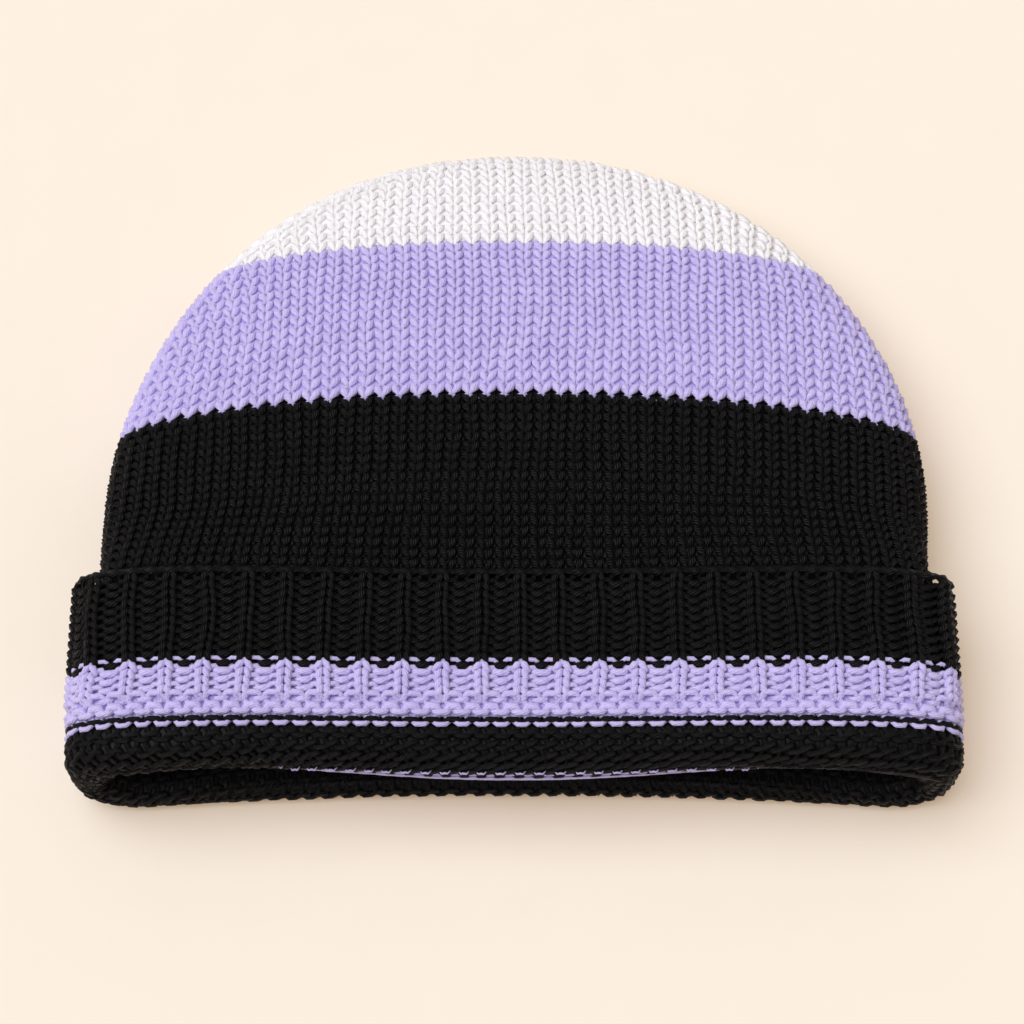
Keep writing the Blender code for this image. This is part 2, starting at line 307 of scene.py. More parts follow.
def crownRing(turns, distance):
    y = float(np.interp(distance, crownArc, crownY))
    ring = bodyRing(turns, y, half)
    closing = min(max((distance - crownArc[-1]) / seamReach, 0.0), 1.0)
    seam = ring.copy()
    seam[:, 1] += rounding["seamAhead"] * (apexY - half - y)
    seam[:, 2] = 0.5 * (seamEnds[0] + seamEnds[1])
    return ring + (seam - ring) * math.sin(closing * math.pi / 2)


# One ring of the fabric at a level that counts courses from the cast-on edge
def fabricRing(turns, level):
    turns = turns % 1.0
    angle = cuffAngles(turns)
    stretch = [name for name in courses if firstCourse[name] <= max(level, 0.0)][-1]
    course = level - firstCourse[stretch]
    share = course / courses[stretch]
    stripeEnd = cap["ribLength"] + cap["stripeLength"]
    if stretch == "cuffRib":
        return cuffRing(turns, np.full_like(turns, share * cap["ribLength"]))
    if stretch == "cuffStripe":
        share = np.interp(course, pitch["stripeCourse"], pitch["stripeShare"])
        return cuffRing(turns, np.full_like(turns, cap["ribLength"] + share * cap["stripeLength"]))
    if stretch == "cuffRoll":
        closing = around(angle, pitch["rollClosingFront"], 0.0, 0.0)
        share = share * (1.0 + closing * (1.0 - share))
        return cuffRing(turns, stripeEnd + share * (rollEnd(angle) - stripeEnd))
    if stretch == "innerStripe":
        return cuffRing(turns, rollEnd(angle) + share * cap["innerStripeLength"])
    if stretch == "baseInside":
        past = rollEnd(angle) + cap["innerStripeLength"] - flatLength(angle) - turnedLength(angle)
        begins = mouthLine(angle) + rollRadius(angle) + past
        return innerRing(turns, begins + share * (cuffEdgeY - begins))
    if stretch == "crownBase":
        return innerRing(turns, np.full_like(turns, cuffEdgeY + share * cap["baseShowing"]))
    if stretch == "crownBand":
        share = share * (1.0 + pitch["bandEasing"] * (1.0 - share))
        return bodyRing(turns, baseEndY + share * cap["bandShowing"], half)
    return crownRing(turns, share * (1.0 - pitch["topEasing"] * (1.0 - share)) * crownLength)


# How the form is laid out in its UV map: u is the turn round the tube, v the level
formGrid = {
    "columns": 240,
    "rowsPerCourse": 4,
    "coursesBelow": 2,
    "coursesAbove": 1,
    "turnMargin": 0.03,
    "levelScale": 0.01,
    "smallestCell": 1e-12,      # rows with smaller cells lie on the closing seam
    "zeroGuard": 1e-15,
    "girthSteps": 720,
    "closingGap": 0.25,         # girths are measured no nearer to the closing than this, in courses
}


def formPoints():
    margin = formGrid["turnMargin"]
    extra = int(math.ceil(margin * formGrid["columns"]))
    steps = np.arange(-extra, formGrid["columns"] + extra + 1)
    turns = steps / formGrid["columns"]
    below = formGrid["coursesBelow"]
    rowCount = (courseTotal + below + formGrid["coursesAbove"]) * formGrid["rowsPerCourse"] + 1
    levels = np.arange(rowCount) / formGrid["rowsPerCourse"] - below
    grid = np.array([fabricRing(turns, level) for level in levels])
    along = np.gradient(grid, axis=0)
    across = np.gradient(grid, axis=1)
    out = np.cross(along, across)
    length = np.linalg.norm(out, axis=-1, keepdims=True)
    lastGood = int(np.argmax(length[:, extra, 0] < formGrid["smallestCell"])) or rowCount
    out = out / np.maximum(length, formGrid["zeroGuard"])
    out[lastGood:] = out[lastGood - 1]
    return turns, levels, grid, out


def makeForm(turns, levels, grid, out):
    margin = formGrid["turnMargin"]
    below = formGrid["coursesBelow"]
    rowCount, wide = len(levels), len(turns)
    index = np.arange(rowCount * wide).reshape(rowCount, wide)
    quads = np.stack(
        [index[:-1, :-1], index[:-1, 1:], index[1:, 1:], index[1:, :-1]], axis=-1
    ).reshape(-1, 4)
    mesh = bpy.data.meshes.new("fabricForm")
    mesh.from_pydata(grid.reshape(-1, 3), [], quads)
    facing = mesh.attributes.new("facing", "FLOAT_VECTOR", "POINT")
    facing.data.foreach_set("vector", out.reshape(-1).astype(np.float32))
    u, v = np.meshgrid(turns, levels)
    place = np.stack(
        [margin + (1 - 2 * margin) * u, (v + below) * formGrid["levelScale"]], axis=-1
    ).reshape(-1, 2)
    layer = mesh.uv_layers.new(name="fabric")
    layer.data.foreach_set("uv", place[quads.reshape(-1)].reshape(-1).astype(np.float32))
    return addObject("fabricForm", mesh)


# Sizes of one stitch. Heights and swings are shares of a course and of a stitch's width.
stitch = {
    "quarter": 25,              # stitches in a quarter of the round
    "shift": -0.35,             # the rib nearest to the centre line stands this far from it
    "widthAtCuff": 4.62 * mm,
    "widthGain": 0.005 * mm,    # wider by this much each course up the body
    "height": 0.78,
    "reverseSquare": 0.13,      # reverse knit has square tops to its loops
    "swing": 0.3,
    "skew": 0.03,
    "depth": 0.75 * mm,
    "footForward": 0.2 * mm,    # the foot of each loop lies in front of the loop below
    "footLength": 0.1 * mm,
    "yarnRadius": 0.95 * mm,
    "pinch": 0.3,               # the yarn is this much thinner where two strands cross
    "slim": 0.3,                # and this much where a loop passes behind its neighbours
    "crownTaper": -0.08,        # the legs of a stitch are fuller at the bottom
    "forwardBase": 1.0,         # how strongly the feet come forward in each band of the crown
    "forwardBand": 1.3,
    "forwardTop": 2.0,
    "borderHeight": (0.92, 0.98),   # where white follows lavender the two colours reach into each other
    "tiltedCourses": 7,         # the lavender band's lowest courses lean to one side, the first most
    "tilt": -0.15,
    "tiltSwing": 0.035,
    "ribRelief": 1.1 * mm,
    "ribSharpness": 1.8,
    "ribGather": 0.3,           # how much the two legs of a rib draw together
    "ribStraightness": 0.15,    # and how upright they stand
    "ribPinch": 0.28,
    "ribTaper": 0.2,            # the yarn between two ribs is thinner than the loops' heads
    "purlSwing": 0.23,
    "purlLean": 0.12,
    "purlThickness": 0.9,
    "purlPinch": 0.18,
    "dashSwing": 0.36,          # the stripe's first course shows between the ribs as pairs of dashes
    "dashThickness": 0.84,
    "dashTaper": 0.3,
    "dashRoom": 0.88,           # and the black loops before it reach over it
    "dashRoomSwing": 0.2,
    "stripeSwing": (0.33, 0.25),    # reverse knit in the stripe has full, round bumps
    "stripeThickness": 0.95,
    "stripeTaper": (0.0, -0.25),
    "lastRibForward": -3.0,     # the ribs end behind the reverse knit
    "reverseSwing": 0.2,        # reverse knit has shorter, thinner bumps that lean
    "reverseForward": 0.35,
    "changeSwing": 0.3,         # wider where black follows lavender
    "reverseThickness": 0.82,
    "reverseDepth": 0.5 * mm,
    "reversePinch": 0.12,
    "rollLean": 0.24,
    "rollLeanGrows": 0.5,       # this much of it is gained with each course
    "leanFades": 0.6,           # the lean dies away from this share of the way to the side fold
    "leanLeft": 0.25,           # down to this much of it on the back
    "rollCalm": 0.8,            # where the roll is flatter too
    "lineFlatness": 0.35,       # the inner stripe's first courses lie flat along the mouth
    "lineFlatCourses": 2,
    "lineThickness": 0.8,
    "lineCourse": 0.4,
    "lineLift": 1.05 * mm,
    "lineRadius": 0.46,
    "dottedCourse": -1.25,      # and a row of fine dashes shows a little before it
    "dottedLift": 0.85 * mm,
    "dottedRadius": 0.38,
    "dottedWave": 2.5,
    "dottedTaper": 0.9,
    "dottedReach": 12.5,        # the dashes sink out of sight this many stitches from the middle
    "dottedFade": 0.5,          # over two stitches
    "dottedSink": 3.0 * mm,
    "edgeCourse": -0.42,        # the cast-on edge's plain strand
    "edgeRadius": 0.9,
    "edgeThickness": 0.55,
    "beadCourse": -0.2,         # and its beaded one
    "beadTaper": 0.5,
    "beadLift": 0.35 * mm,
    "strandWaver": 0.06,        # how far a single strand rises and falls, in courses
    "leastQuarter": 2,          # stitches in a quarter of the last course, at the least
    "foldPower": 6.0,           # how closely the columns' slack gathers at the side folds
    "foldEnds": 8.0,            # and how late the course's own girth counts there
    "wander": 0.3,              # how far the columns stray, in stitches
    "wanderRound": 4.0,         # how often they do so round the tube
    "wanderAlong": 0.16,        # and up it
    "unevenness": 0.35 * mm,
    "unevenScale": 140.0,
    "restHeight": 1.25 * mm,    # no strand's middle is nearer to the floor
    "seed": 4.0,
    "samples": 10,
    "sides": 5,
    "seamJump": 0.25,           # a corner this far below its face's middle, in the map, is past the seam
}

# The sizes of a stitch that the tree takes as inputs
knitInputs = (
    "samples", "sides", "yarnRadius", "shift", "footForward", "footLength", "ribRelief", "ribSharpness",
    "ribGather", "ribStraightness", "ribPinch", "purlLean", "leanFades", "leanLeft", "dottedReach",
    "dottedFade", "foldPower", "foldEnds", "wander", "wanderRound", "wanderAlong", "restHeight",
    "unevenness", "unevenScale", "seed",
)

# What the tree reads of each course, as attributes of one point. These are a plain strand's.
strandFacts = {
    "row": 0,
    "level": 0.0,
    "quarter": float(stitch["quarter"]),    # stitches in a quarter of the round
    "girth": float(stitch["quarter"]),      # how many there is room for
    "fall": 0.0,                # and how many fewer there is room for one course on
    "rib": 0.0,                 # 1 where every second stitch is worked from the other side
    "swing": 0.0,
    "skew": 0.0,
    "height": stitch["strandWaver"],
    "squared": 0.0,
    "lean": 0.0,
    "calm": 0.0,                # how much flatter the course is where its lean fades
    "depth": 0.0,
    "forward": 0.0,
    "lift": 0.0,
    "sink": 0.0,                # how deep it goes past the reach of the dashes
    "thick": 1.0,
    "pinch": 0.0,
    "slim": 0.0,
    "taper": 0.0,
}

nodeGrid = {"columns": 14, "wide": 190, "high": 230}


def addObject(name, data):
    made = bpy.data.objects.new(name, data)
    bpy.context.scene.collection.objects.link(made)
    return made


# Puts a socket or a plain value into an input
def feed(target, value):
    if isinstance(value, bpy.types.NodeSocket):
        target.id_data.links.new(value, target)
    else:
        target.default_value = value


def addNode(tree, kind, inputs=None, **settings):
    made = tree.nodes.new(kind)
    down, across = divmod(len(tree.nodes), nodeGrid["columns"])
    made.location = (nodeGrid["wide"] * across, -nodeGrid["high"] * down)
    for name, value in settings.items():
        setattr(made, name, value)
    for name, value in (inputs or {}).items():
        feed(made.inputs[name], value)
    return made


# Arithmetic in the tree that the sockets among its values belong to
def calc(operation, *values, kind="ShaderNodeMath"):
    tree = next(value.id_data for value in values if isinstance(value, bpy.types.NodeSocket))
    return addNode(tree, kind, dict(enumerate(values)), operation=operation).outputs[0]


def vectorCalc(operation, *values):
    return calc(operation, *values, kind="ShaderNodeVectorMath")


def vectorOf(*values):
    return addNode(values[0].id_data, "ShaderNodeCombineXYZ", dict(enumerate(values))).outputs[0]


def plus(first, second):
    return calc("ADD", first, second)


def minus(first, second):
    return calc("SUBTRACT", first, second)


def times(first, second):
    return calc("MULTIPLY", first, second)


def over(first, second):
    return calc("DIVIDE", first, second)


def sine(angle):
    return calc("SINE", angle)


def cosine(angle):
    return calc("COSINE", angle)


def held(value, lowest, highest):
    return calc("MINIMUM", calc("MAXIMUM", value, lowest), highest)


def blend(low, high, share):
    return addNode(share.id_data, "ShaderNodeMix", {0: share, 2: low, 3: high}).outputs[0]


def readAttribute(tree, name, kind="FLOAT"):
    made = addNode(tree, "GeometryNodeInputNamedAttribute", {"Name": name}, data_type=kind)
    return made.outputs["Attribute"]


# Keeps fields of the points as they are now, for use further on
def keepFields(geometry, **fields):
    made = addNode(geometry.id_data, "GeometryNodeCaptureAttribute", {"Geometry": geometry}, domain="POINT")
    for name, value in fields.items():
        made.capture_items.new("FLOAT", name)
        feed(made.inputs[name], value)
    return made.outputs


# Where in its course and in its stitch a point of the yarn is, counted in stitches from the
# front's centre line, and on which kind of stitch
def placeInCourse(given, fact, number):
    place = minus(over(number, given["samples"]), times(fact["quarter"], 2.0))
    stitches = minus(place, given["shift"])
    once = times(stitches, 2 * math.pi)
    ribWave = cosine(times(stitches, math.pi))
    turned = times(held(times(ribWave, given["ribSharpness"]), -1.0, 1.0), -1.0)
    face = blend(1.0, turned, fact["rib"])
    towardsBack = over(calc("ABSOLUTE", stitches), fact["quarter"])
    return {
        "place": place,
        "stitches": stitches,
        "once": once,
        "twice": times(stitches, 4 * math.pi),
        "square": cosine(times(once, 3.0)),
        "ribWave": ribWave,
        "face": face,
        "onRib": times(times(minus(1.0, face), 0.5), fact["rib"]),
        "fading": held(minus(plus(given["leanFades"], 1.0), towardsBack), given["leanLeft"], 1.0),
    }


# How far the yarn lies to the side of its place, in stitches
def sidewaysOf(given, fact, at):
    upright = minus(1.0, times(at["onRib"], given["ribStraightness"]))
    swing = times(fact["swing"], upright)
    sideways = plus(times(swing, sine(at["twice"])), times(fact["skew"], cosine(at["once"])))
    gather = times(sine(times(at["stitches"], math.pi)), given["ribGather"])
    return minus(sideways, times(times(gather, fact["rib"]), 1 / math.pi))


# How far it rises above the middle of its course, in courses
def riseOf(given, fact, at):
    rise = times(fact["height"], minus(cosine(at["once"]), times(at["square"], fact["squared"])))
    onPurl = minus(fact["rib"], at["onRib"])
    lean = plus(fact["lean"], times(onPurl, given["purlLean"]))
    return plus(rise, times(times(lean, at["fading"]), sine(at["twice"])))


# How far it stands off the form
def standOf(given, fact, at):
    calmed = times(minus(1.0, at["fading"]), fact["calm"])
    depth = times(fact["depth"], minus(1.0, calmed))
    wave = times(times(depth, cosine(at["twice"])), at["face"])
    plateau = times(calc("MAXIMUM", at["face"], 0.0), times(given["footLength"], at["square"]))
    forward = times(given["footForward"], cosine(at["once"]))
    forward = times(minus(forward, plateau), fact["forward"])
    relief = times(times(given["ribRelief"], -0.5), times(fact["rib"], at["ribWave"]))
    stand = minus(plus(times(plus(wave, forward), -1.0), relief), fact["lift"])
    beyond = minus(calc("ABSOLUTE", at["stitches"]), given["dottedReach"])
    return plus(stand, times(fact["sink"], held(times(beyond, given["dottedFade"]), 0.0, 1.0)))


# The turn round the tube. Columns keep their width from the centre lines outwards, and the side
# folds take up the rest.
def turnOf(given, fact, at, rise):
    count = plus(at["place"], sidewaysOf(given, fact, at))
    reach = calc("ABSOLUTE", count)
    onBack = calc("GREATER_THAN", reach, fact["quarter"])
    reach = blend(reach, minus(times(fact["quarter"], 2.0), reach), onBack)
    share = over(calc("MAXIMUM", reach, 0.0), fact["quarter"])
    room = minus(fact["girth"], fact["quarter"])
    arc = plus(reach, times(room, calc("POWER", share, given["foldPower"])))
    here = minus(fact["girth"], times(fact["fall"], rise))
    whole = times(blend(here, fact["girth"], calc("POWER", share, given["foldEnds"])), 4.0)
    portion = over(arc, whole)
    portion = blend(portion, minus(0.5, portion), onBack)
    return plus(times(calc("SIGN", count), portion), 0.5)


# The columns wander a little, the same way in neighbouring courses
def wandered(given, fact, turn, level):
    angle = times(turn, 2 * math.pi)
    spot = vectorOf(
        times(cosine(angle), given["wanderRound"]),
        times(sine(angle), given["wanderRound"]),
        times(level, given["wanderAlong"]),
    )
    noise = addNode(
        spot.id_data, "ShaderNodeTexNoise",
        {"Vector": spot, "W": given["seed"], "Scale": 1.0, "Detail": 1.0},
        noise_dimensions="4D",
    )
    strayed = times(minus(noise.outputs[0], 0.5), given["wander"])
    return plus(turn, over(strayed, times(fact["girth"], 2.0)))


# The place on the form at this turn and level, and the way that the fabric's face looks there
def onForm(tree, given, turn, level):
    margin = formGrid["turnMargin"]
    spot = vectorOf(
        plus(times(turn, 1 - 2 * margin), margin),
        times(plus(level, float(formGrid["coursesBelow"])), formGrid["levelScale"]),
    )
    form = addNode(tree, "GeometryNodeObjectInfo", {"Object": given["form"]}, transform_space="RELATIVE")
    place = addNode(tree, "GeometryNodeInputPosition").outputs[0]
    sampled = []
    for value in (place, readAttribute(tree, "facing", "FLOAT_VECTOR")):
        made = addNode(tree, "GeometryNodeSampleUVSurface", {
            "Mesh": form.outputs["Geometry"],
            "UV Map": readAttribute(tree, "fabric", "FLOAT_VECTOR"),
            "Sample UV": spot,
        }, data_type="FLOAT_VECTOR")
        feed(made.inputs["Value"], value)
        sampled.append(made.outputs["Value"])
    return sampled


# Moves a point off the form, unevenly, and presses it flat where the cap lies on the floor
def standOff(tree, given, place, facing, stand):
    lifted = vectorCalc("MULTIPLY_ADD", facing, stand, place)
    noise = addNode(
        tree, "ShaderNodeTexNoise",
        {"Vector": place, "W": given["seed"], "Scale": given["unevenScale"]},
        noise_dimensions="4D",
    )
    centred = vectorCalc("SUBTRACT", noise.outputs["Color"], (0.5, 0.5, 0.5))
    uneven = vectorCalc("MULTIPLY_ADD", centred, given["unevenness"], lifted)
    x, y, z = addNode(tree, "ShaderNodeSeparateXYZ", {0: uneven}).outputs
    return vectorOf(x, y, calc("MAXIMUM", z, given["restHeight"]))


# The yarn thins where two strands cross, and where a loop passes behind its neighbours
def thicknessOf(given, fact, at):
    pinched = blend(fact["pinch"], given["ribPinch"], at["onRib"])
    thickness = plus(times(cosine(times(at["stitches"], 8 * math.pi)), pinched), 1.0)
    behind = times(plus(cosine(at["twice"]), 1.0), 0.5)
    thickness = times(minus(thickness, times(fact["slim"], behind)), fact["thick"])
    return times(thickness, plus(times(fact["taper"], cosine(at["once"])), 1.0))


# Lets a map run on past its whole where a face straddles the seam, instead of back to 0
def unwrapped(value, whole):
    middle = addNode(value.id_data, "GeometryNodeFieldOnDomain", {0: value}, domain="FACE").outputs[0]
    jump = over(minus(middle, value), whole)
    return plus(value, times(calc("GREATER_THAN", jump, stitch["seamJump"]), whole))


# Joins the points of each course into a closed strand, with the yarn's own map on it: along the
# strand in turns of the twist, and round it from 0 to 1
def spinYarn(tree, given, points, order, thickness):
    strands = addNode(tree, "GeometryNodePointsToCurves", {
        "Points": points, "Curve Group ID": readAttribute(tree, "row", "INT"), "Weight": order,
    })
    closed = addNode(tree, "GeometryNodeSetSplineCyclic", {"Geometry": strands.outputs[0], "Cyclic": True})
    length = addNode(tree, "GeometryNodeSplineLength").outputs["Length"]
    twists = calc("ROUND", over(length, given["twistLength"]))
    share = over(addNode(tree, "GeometryNodeSplineParameter").outputs["Length"], length)
    strand = keepFields(closed.outputs[0], along=times(share, twists), whole=twists)
    ring = addNode(tree, "GeometryNodeCurvePrimitiveCircle", {
        "Resolution": given["sides"], "Radius": given["yarnRadius"],
    })
    profile = keepFields(ring.outputs["Curve"], side=addNode(tree, "GeometryNodeInputIndex").outputs[0])
    skin = addNode(tree, "GeometryNodeCurveToMesh", {
        "Curve": strand["Geometry"], "Profile Curve": profile["Geometry"], "Scale": thickness,
    })
    roundYarn = over(profile["side"], given["sides"])
    yarnMap = vectorOf(unwrapped(strand["along"], strand["whole"]), unwrapped(roundYarn, 1.0))
    mapped = addNode(
        tree, "GeometryNodeStoreNamedAttribute",
        {"Geometry": skin.outputs[0], "Name": "yarn", "Value": yarnMap},
        data_type="FLOAT2", domain="CORNER",
    )
    return addNode(tree, "GeometryNodeSetShadeSmooth", {"Geometry": mapped.outputs[0]}).outputs[0]


def makeKnitTree():
    tree = bpy.data.node_groups.new("knitCourses", "GeometryNodeTree")
    kinds = {"Geometry": "Geometry", "form": "Object", "yarn": "Material", "twistLength": "Float"}
    for name in knitInputs:
        kinds[name] = "Int" if isinstance(stitch[name], int) else "Float"
    for name, kind in kinds.items():
        tree.interface.new_socket(name=name, in_out="INPUT", socket_type="NodeSocket" + kind)
    tree.interface.new_socket(name="Geometry", in_out="OUTPUT", socket_type="NodeSocketGeometry")
    given = addNode(tree, "NodeGroupInput").outputs
    fact = {name: readAttribute(tree, name) for name in strandFacts if name != "row"}

    points = addNode(tree, "GeometryNodeMeshToPoints", {"Mesh": given["Geometry"]})
    repeat = addNode(tree, "GeometryNodeDuplicateElements", {
        "Geometry": points.outputs[0],
        "Amount": times(times(fact["quarter"], 4.0), given["samples"]),
    }, domain="POINT")
    number = repeat.outputs["Duplicate Index"]
    at = placeInCourse(given, fact, number)
    kept = keepFields(repeat.outputs["Geometry"], order=number, thickness=thicknessOf(given, fact, at))

    rise = riseOf(given, fact, at)
    level = plus(fact["level"], rise)
    turn = wandered(given, fact, turnOf(given, fact, at, rise), level)
    place, facing = onForm(tree, given, turn, level)
    spot = standOff(tree, given, place, facing, standOf(given, fact, at))
    moved = addNode(tree, "GeometryNodeSetPosition", {"Geometry": kept["Geometry"], "Position": spot})
    strands = spinYarn(tree, given, moved.outputs[0], kept["order"], kept["thickness"])
    real = addNode(tree, "GeometryNodeRealizeInstances", {0: strands})
    painted = addNode(tree, "GeometryNodeSetMaterial", {0: real.outputs[0], "Material": given["yarn"]})
    addNode(tree, "NodeGroupOutput", {0: painted.outputs[0]})
    return tree


def setInputs(modifier, tree, values):
    names = {item.name: item.identifier for item in tree.interface.items_tree if item.in_out == "INPUT"}
    for name, value in values.items():
        modifier[names[name]] = value


# Loose fibres close the gaps between the strands: a thin sleeve behind them
core = {
    # How far behind the yarn's middle it lies, at the front and at the back; negative is before it
    "setBack": {
        "cuffRib": (0.9 * mm, 0.9 * mm),
        "cuffStripe": (0.9 * mm, 0.9 * mm),
        "cuffRoll": (0.7 * mm, 0.3 * mm),
        "innerStripe": (0.9 * mm, 0.9 * mm),
        "baseInside": (0.9 * mm, 0.9 * mm),
        "crownBase": (-0.05 * mm, -0.05 * mm),
        "crownBand": (-0.15 * mm, -0.15 * mm),
        "crownTop": (-0.3 * mm, -0.3 * mm),
    },
    "thickness": 0.2 * mm,
    "rowStep": 2,
    "columnStep": 2,
    # How many courses inside its band it begins and ends: black reaches a little under lavender
    "ends": {
        "cuffRib": (0.3, -0.5),
        "cuffStripe": (0.8, 0.5),
        "cuffRoll": (0.0, -0.25),
        "innerStripe": (0.5, 0.3),
        "baseInside": (0.0, 0.0),
        "crownBase": (0.3, -0.25),
        "crownBand": (0.4, -0.75),
        "crownTop": (0.25, 0.0),
    },
}


def makeCore(name, stretch, levels, grid, out, material, node):
    extra = int(math.ceil(formGrid["turnMargin"] * formGrid["columns"]))
    begins, ends = core["ends"][stretch]
    lowest = firstCourse[stretch] + begins
    highest = firstCourse[stretch] + courses[stretch] - ends
    rows = np.nonzero((levels >= lowest) & (levels <= highest))[0]
    rows = np.unique(np.append(rows[:: core["rowStep"]], rows[-1]))
    columns = np.arange(extra, extra + formGrid["columns"], core["columnStep"])
    middle = grid[np.ix_(rows, columns)]
    facing = out[np.ix_(rows, columns)]
    # Behind is into the cuff's fold, where the form's facing looks, and into the crown, away from it
    behind = 1.0 if firstCourse[stretch] < firstCourse["crownBase"] else -1.0
    atFront, atBack = core["setBack"][stretch]
    frontShare = 0.5 - 0.5 * np.cos(2 * np.pi * np.arange(len(columns)) / len(columns))
    setBack = (atBack + (atFront - atBack) * frontShare)[:, None] * behind
    layers = [middle + facing * (setBack - shift) for shift in (0.0, core["thickness"])]
    tall, wide = middle.shape[:2]
    index = np.arange(2 * tall * wide).reshape(2, tall, wide)
    beside = np.roll(index, -1, axis=2)
    outer = np.stack([index[0, :-1], index[0, 1:], beside[0, 1:], beside[0, :-1]], axis=-1)
    inner = np.stack([index[1, :-1], beside[1, :-1], beside[1, 1:], index[1, 1:]], axis=-1)
    start = np.stack([index[0, 0], beside[0, 0], beside[1, 0], index[1, 0]], axis=-1)
    end = np.stack([index[0, -1], index[1, -1], beside[1, -1], beside[0, -1]], axis=-1)
    faces = np.concatenate([part.reshape(-1, 4) for part in (outer, inner, start, end)])
    mesh = bpy.data.meshes.new(name)
    mesh.from_pydata(np.concatenate(layers).reshape(-1, 3), [], faces)
    mesh.shade_smooth()
    mesh.materials.append(material)
    piece = addObject(name, mesh)
    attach(piece, "root")
    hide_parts(node)
    print("made", name, len(faces) * 2, "triangles")


# How many stitches there is room for in a quarter of the round, half a course before this level,
# at it and half a course past it
def girthsAt(level):
    turns = np.arange(formGrid["girthSteps"]) / formGrid["girthSteps"]
    girths = []
    for at in (level - 0.5, level, level + 0.5):
        ring = fabricRing(turns, min(at, courseTotal - formGrid["closingGap"]))
        length = np.linalg.norm(np.roll(ring, -1, axis=0) - ring, axis=1).sum()
        width = stitch["widthAtCuff"] + stitch["widthGain"] * (at - firstCourse["crownBase"])
        girths.append(length / 4 / width)
    return girths


# Ribs down to the stripe's last courses, and reverse knit from there to where the crown begins
def cuffFacts(row):
    inStripe = row - firstCourse["cuffStripe"]
    inRoll = row - firstCourse["cuffRoll"]
    inLine = row - firstCourse["innerStripe"]
    if inStripe < ribbedStripeCourses:
        facts = dict(
            rib=1.0, forward=-1.0, swing=stitch["purlSwing"], thick=stitch["purlThickness"],
            pinch=stitch["purlPinch"], taper=stitch["ribTaper"],
        )
    else:
        facts = dict(
            forward=-stitch["reverseForward"], swing=stitch["reverseSwing"],
            squared=stitch["reverseSquare"], thick=stitch["reverseThickness"],
            pinch=stitch["reversePinch"], depth=stitch["reverseDepth"],
        )
    if inStripe == -1:
        facts.update(height=stitch["dashRoom"], swing=stitch["dashRoomSwing"])
    if inStripe == 0:
        facts.update(
            swing=stitch["dashSwing"], thick=stitch["dashThickness"], taper=stitch["dashTaper"],
            lean=-stitch["purlLean"],
        )
    if inStripe == ribbedStripeCourses - 1:
        facts["forward"] = stitch["lastRibForward"]
    if inStripe >= ribbedStripeCourses and inRoll < 0:
        bump = inStripe - ribbedStripeCourses
        facts.update(
            swing=stitch["stripeSwing"][bump], taper=stitch["stripeTaper"][bump],
            thick=stitch["stripeThickness"], depth=stitch["depth"], squared=0.0,
        )
    if inRoll == 0:
        facts["swing"] = stitch["changeSwing"]
    if inRoll >= 0 and inLine < 0:
        facts["lean"] = stitch["rollLean"] * min(stitch["rollLeanGrows"] * inRoll, 1.0)
        facts["calm"] = stitch["rollCalm"]
    if 0 <= inLine < stitch["lineFlatCourses"]:
        facts["depth"] *= stitch["lineFlatness"]
        facts["thick"] *= stitch["lineThickness"]
    return facts


# Plain knit, with fewer stitches in each course towards the crown's closing
def crownFacts(row):
    before, here, after = girthsAt(row + 0.5)
    inBand = row - firstCourse["crownBand"]
    inTop = row - firstCourse["crownTop"]
    facts = dict(
        girth=here, quarter=float(max(stitch["leastQuarter"], round(here))), fall=max(before - after, 0.0),
        slim=stitch["slim"], taper=stitch["crownTaper"], forward=stitch["forwardBase"],
    )
    if inBand >= 0:
        tilted = max(0.0, 1.0 - inBand / stitch["tiltedCourses"])
        facts["forward"] = stitch["forwardBand"]
        facts["skew"] = stitch["skew"] + tilted * stitch["tilt"]
        facts["swing"] = stitch["swing"] + tilted * stitch["tiltSwing"]
    if inTop >= 0:
        facts["forward"] = stitch["forwardTop"]
        facts["skew"] = 0.0
    if inTop in (-1, 0):
        facts["height"] = stitch["borderHeight"][inTop + 1]
    return facts


def courseRows(stretch):
    rows = []
    for row in range(firstCourse[stretch], firstCourse[stretch] + courses[stretch]):
        facts = dict(strandFacts, row=row, level=row + 0.5)
        for name in ("swing", "skew", "height", "depth", "pinch"):
            facts[name] = stitch[name]
        facts.update(crownFacts(row) if row >= firstCourse["crownBase"] else cuffFacts(row))
        rows.append(facts)
    return rows


# The cast-on edge: one plain strand, and one with a bead to each stitch
def edgeRows():
    return [
        dict(strandFacts, row=0, level=stitch["edgeCourse"], thick=stitch["edgeThickness"]),
        dict(
            strandFacts, row=1, level=stitch["beadCourse"], taper=stitch["beadTaper"],
            lift=stitch["beadLift"],
        ),
    ]


# The fold of the inner stripe runs along the mouth as one fine line, with a dotted one before it
def lineRows():
    first = firstCourse["innerStripe"]
    return [
        dict(strandFacts, row=0, level=first + stitch["lineCourse"], lift=stitch["lineLift"]),
        dict(
            strandFacts, row=1, level=first + stitch["dottedCourse"], lift=stitch["dottedLift"],
            thick=stitch["dottedRadius"], forward=stitch["dottedWave"], taper=stitch["dottedTaper"],
            sink=stitch["dottedSink"],
        ),
    ]


